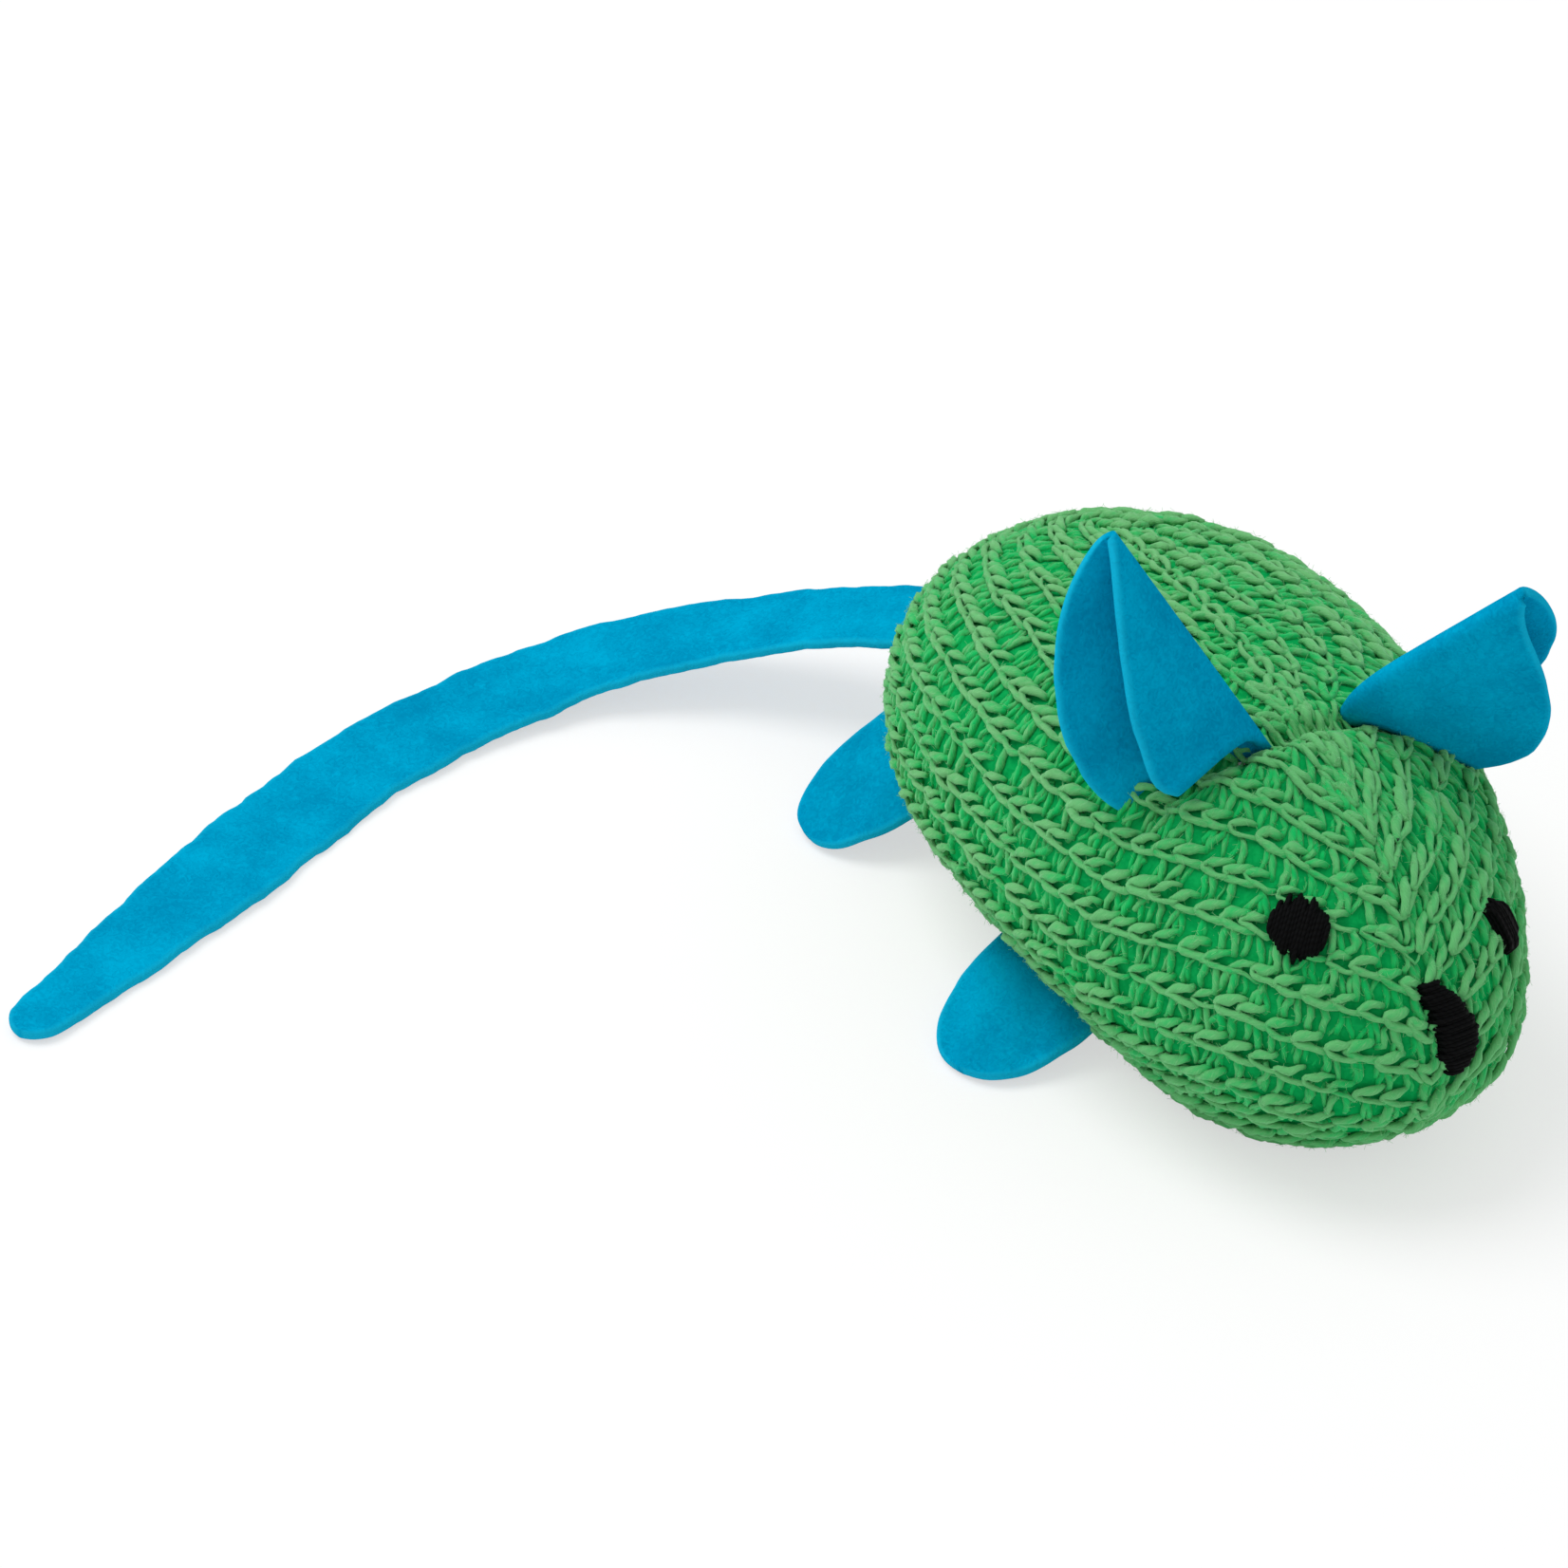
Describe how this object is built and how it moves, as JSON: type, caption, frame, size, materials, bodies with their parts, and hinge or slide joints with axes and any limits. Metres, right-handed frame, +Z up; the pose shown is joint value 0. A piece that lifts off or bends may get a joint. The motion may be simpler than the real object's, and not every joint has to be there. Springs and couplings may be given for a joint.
{
  "type": "catnip mouse",
  "caption": "Crocheted stuffed mouse cat toy on a flat base, with folded felt ears, felt feet, a felt strip tail, an embroidered face and a catnip pouch inside.",
  "frame": {"origin": "middle of the flat underside that the mouse rests on", "axes": "+X towards the nose, +Y towards the mouse's left, +Z up"},
  "size_m": [0.1333, 0.1646, 0.0659],
  "materials": {
    "green_yarn": "crocheted acrylic yarn, matt and slightly fuzzy",
    "blue_felt": "craft felt, matt with a short nap and cut edges",
    "black_thread": "black embroidery thread in satin stitch",
    "fibre_fill": "white polyester fibre fill",
    "muslin": "unbleached cotton muslin",
    "dried_leaf": "dried crushed catnip leaf"
  },
  "bodies": {
    "body": {"body_cover": "green_yarn", "head_cover": "green_yarn", "base_cover": "green_yarn", "base_seam_thread": "green_yarn", "ear_seam_thread": "green_yarn", "stuffing_rear": "fibre_fill", "stuffing_front": "fibre_fill", "catnip_pouch": "muslin", "pouch_tie": "green_yarn", "catnip_fill": "dried_leaf", "eye_right": "black_thread", "eye_left": "black_thread", "nose": "black_thread"},
    "ear_right": {"ear_right": "blue_felt"},
    "ear_left": {"ear_left": "blue_felt"},
    "foot_front_right": {"foot_front_right": "blue_felt"},
    "foot_rear_right": {"foot_rear_right": "blue_felt"},
    "foot_front_left": {"foot_front_left": "blue_felt"},
    "foot_rear_left": {"foot_rear_left": "blue_felt"},
    "tail_base": {"tail_base": "blue_felt"},
    "tail_middle": {"tail_middle": "blue_felt"},
    "tail_tip": {"tail_tip": "blue_felt"}
  },
  "joints": [
    {"name": "ear_right_bend", "type": "hinge", "parent": "body", "child": "ear_right", "pos_m": [0.01901, -0.01328, 0.03944], "axis": [-0.0518, 0.885, 0.4628], "range_deg": [-12, 40], "stiffness_Nm_per_rad": 0.001},
    {"name": "ear_left_bend", "type": "hinge", "parent": "body", "child": "ear_left", "pos_m": [0.01901, 0.01328, 0.03944], "axis": [0.0518, 0.885, -0.4628], "range_deg": [-40, 25], "stiffness_Nm_per_rad": 0.001},
    {"name": "foot_front_right_bend", "type": "hinge", "parent": "body", "child": "foot_front_right", "pos_m": [0.00466, -0.02119, 0.0045], "axis": [-0.9135, -0.4067, 0], "range_deg": [-20, 30], "stiffness_Nm_per_rad": 0.0002},
    {"name": "foot_rear_right_bend", "type": "hinge", "parent": "body", "child": "foot_rear_right", "pos_m": [-0.03635, -0.01781, 0.0085], "axis": [-0.9994, -0.0349, 0], "range_deg": [-20, 30], "stiffness_Nm_per_rad": 0.0002},
    {"name": "foot_front_left_bend", "type": "hinge", "parent": "body", "child": "foot_front_left", "pos_m": [0.00466, 0.02119, 0.0045], "axis": [0.9135, -0.4067, 0], "range_deg": [-20, 30], "stiffness_Nm_per_rad": 0.0002},
    {"name": "foot_rear_left_bend", "type": "hinge", "parent": "body", "child": "foot_rear_left", "pos_m": [-0.03635, 0.01781, 0.0085], "axis": [0.9994, -0.0349, 0], "range_deg": [-20, 30], "stiffness_Nm_per_rad": 0.0002},
    {"name": "tail_lift", "type": "hinge", "parent": "body", "child": "tail_base", "pos_m": [-0.04898, -0.00283, 0.01551], "axis": [-0.7149, 0.6992, 0], "range_deg": [-15, 60], "stiffness_Nm_per_rad": 0.002},
    {"name": "tail_middle_curl", "type": "hinge", "parent": "tail_base", "child": "tail_middle", "pos_m": [-0.07544, -0.04133, 0.00396], "axis": [-0.9818, 0.1902, 0], "range_deg": [-50, 50], "stiffness_Nm_per_rad": 0.001},
    {"name": "tail_tip_curl", "type": "hinge", "parent": "tail_middle", "child": "tail_tip", "pos_m": [-0.06189, -0.08695, 0.00072], "axis": [-0.8292, -0.5589, 0], "range_deg": [-50, 50], "stiffness_Nm_per_rad": 0.001}
  ]
}
